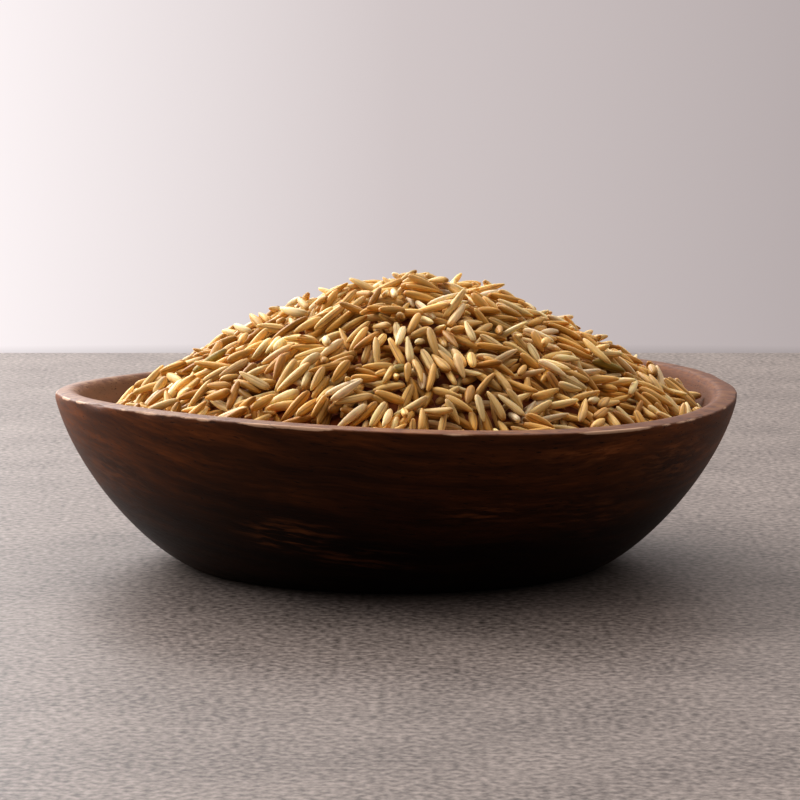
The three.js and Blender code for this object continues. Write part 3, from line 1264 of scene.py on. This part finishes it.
def streaked_skin(tree, unwrapped, skin_stops):
    """The skin's colour, and the streaks along the grain, which also give its relief."""
    tone = add_node(tree, "ShaderNodeAttribute", attribute_name="tone")
    place = add_node(tree, "ShaderNodeTexCoord")
    skin = add_node(tree, "ShaderNodeValToRGB", {"Fac": tone.outputs["Fac"]}, stops=skin_stops)
    blotches = add_node(
        tree,
        "ShaderNodeTexNoise",
        {"Vector": place.outputs["Object"], "Scale": 1 / BLOTCH_SIZE, "Detail": 4},
    )
    stretched = add_node(
        tree, "ShaderNodeMapping", {"Vector": unwrapped.outputs["UV"], "Scale": STREAKS}
    )
    streak_place = add_node(
        tree,
        "ShaderNodeVectorMath",
        {0: tone.outputs["Color"], 1: TONE_SHIFT, 2: stretched.outputs["Vector"]},
        operation="MULTIPLY_ADD",
    )
    streaks = add_node(
        tree,
        "ShaderNodeTexNoise",
        {"Vector": streak_place.outputs["Vector"], "Scale": 1},
    )
    variation = add_node(
        tree,
        "ShaderNodeMath",
        {0: blotches.outputs["Fac"], 1: 1.6, 2: streaks.outputs["Fac"]},
        operation="MULTIPLY_ADD",
    )
    shade = add_node(
        tree,
        "ShaderNodeMapRange",
        {
            "Value": variation.outputs["Value"],
            "From Min": 1.0,
            "From Max": 1.6,
            "To Min": 0.64,
            "To Max": 1.21,
        },
    )
    streaked = add_node(
        tree,
        "ShaderNodeMix",
        {FACTOR: 1.0, FIRST: skin.outputs["Color"], SECOND: shade.outputs["Result"]},
        data_type="RGBA",
        blend_type="MULTIPLY",
    )
    return streaked.outputs[MIXED], streaks.outputs["Fac"]

# %% Oat skin: germ, brush and painted crease shade
BRUSH_COLOUR = "#ecd6ae"


def marked_skin(tree, unwrapped, colour, germ_colour, crease_shade_colour):
    """Darkens a colour at the germ end, paints shade in the crease, and pales it at the brush end.
    """
    split = add_node(tree, "ShaderNodeSeparateXYZ", {"Vector": unwrapped.outputs["UV"]})
    at_germ = add_node(
        tree,
        "ShaderNodeMapRange",
        {"Value": split.outputs["Y"], "From Min": 0.3, "From Max": 0.02, "To Max": 0.65},
    )
    germ = add_node(
        tree,
        "ShaderNodeMix",
        {FACTOR: at_germ.outputs["Result"], FIRST: colour, SECOND: linear(germ_colour)},
        data_type="RGBA",
    )
    at_brush = add_node(
        tree,
        "ShaderNodeMapRange",
        {"Value": split.outputs["Y"], "From Min": 0.86, "From Max": 1.0, "To Max": 0.6},
    )
    tipped = add_node(
        tree,
        "ShaderNodeMix",
        {
            FACTOR: at_brush.outputs["Result"],
            FIRST: germ.outputs[MIXED],
            SECOND: linear(BRUSH_COLOUR),
        },
        data_type="RGBA",
    )
    # The crease is where the map's two sides meet, so the streaks' seam is hidden in it
    off_crease = add_node(
        tree, "ShaderNodeMath", {0: split.outputs["X"], 1: 0.5}, operation="PINGPONG"
    )
    # Painted shade: the crease is painted darker
    painted_crease_shade = add_node(
        tree,
        "ShaderNodeMapRange",
        {"Value": off_crease.outputs["Value"], "From Min": 0.035, "From Max": 0.0, "To Max": 0.7},
    )
    crease_shaded_skin = add_node(
        tree,
        "ShaderNodeMix",
        {
            FACTOR: painted_crease_shade.outputs["Result"],
            FIRST: tipped.outputs[MIXED],
            SECOND: linear(crease_shade_colour),
        },
        data_type="RGBA",
    )
    return crease_shaded_skin.outputs[MIXED]

# %% Oat skin: finish
WRINKLE_DEPTH = 0.12 * MM
GLOW_DEPTH = 1.0 * MM  # how far light goes into the starch under the skin


def oat_finish(name, crease_shade_colour, germ_colour, skin_stops):
    """Dried oat skin: satin, streaked along the grain, and a little translucent at its edges."""
    material, tree, shader = new_material(name)
    unwrapped = add_node(tree, "ShaderNodeUVMap", uv_map="kernel")
    colour, streaks = streaked_skin(tree, unwrapped, skin_stops)
    marked = marked_skin(tree, unwrapped, colour, germ_colour, crease_shade_colour)
    tree.links.new(marked, shader.inputs["Base Color"])
    wrinkles = add_node(
        tree, "ShaderNodeBump", {"Height": streaks, "Distance": WRINKLE_DEPTH, "Strength": 0.8}
    )
    tree.links.new(wrinkles.outputs["Normal"], shader.inputs["Normal"])
    shader.inputs["Roughness"].default_value = 0.5
    shader.inputs["Specular IOR Level"].default_value = 0.35
    shader.inputs["Sheen Weight"].default_value = 0.05
    shader.inputs["Sheen Roughness"].default_value = 0.4
    shader.inputs["Subsurface Weight"].default_value = 0.5
    shader.inputs["Subsurface Radius"].default_value = (1.0, 0.8, 0.5)
    shader.inputs["Subsurface Scale"].default_value = GLOW_DEPTH
    return material

# %% Three skins
# Each has a colour for the crease's painted shade and one for the germ, and then the skin's own from
# dark to light
golden_skin = oat_finish(
    "golden_oat_skin",
    "#8f5e24",
    "#a36c2f",
    ((0.1, "#d6a552"), (0.5, "#e8c077"), (0.95, "#f4dba2")),
)
pale_skin = oat_finish(
    "pale_starchy_oat_skin",
    "#b98c4c",
    "#c99a55",
    ((0.1, "#eac78e"), (0.5, "#f0d3a2"), (0.95, "#f3deba")),
)
# A few of the brown ones were cut unripe, and have stayed green
brown_skin = oat_finish(
    "brown_ripe_oat_skin",
    "#6f4a20",
    "#7f5528",
    ((0.01, "#a08c44"), (0.03, "#b37f37"), (0.5, "#ca994b"), (0.95, "#dcb066")),
)

# %% Sort the grains by tone and make the pieces
PALE_SHARE = 0.12
BROWN_SHARE = 0.22

luck = draw.random(len(poured))
pale = [grain for grain, chance in zip(poured, luck) if chance < PALE_SHARE]
brown = [grain for grain, chance in zip(poured, luck) if chance > 1 - BROWN_SHARE]
golden = [grain for grain, chance in zip(poured, luck) if PALE_SHARE <= chance <= 1 - BROWN_SHARE]
gather("golden_oats_a", golden[::2], golden_skin)
gather("golden_oats_b", golden[1::2], golden_skin)
gather("pale_oats", pale, pale_skin)
gather("brown_oats", brown, brown_skin)
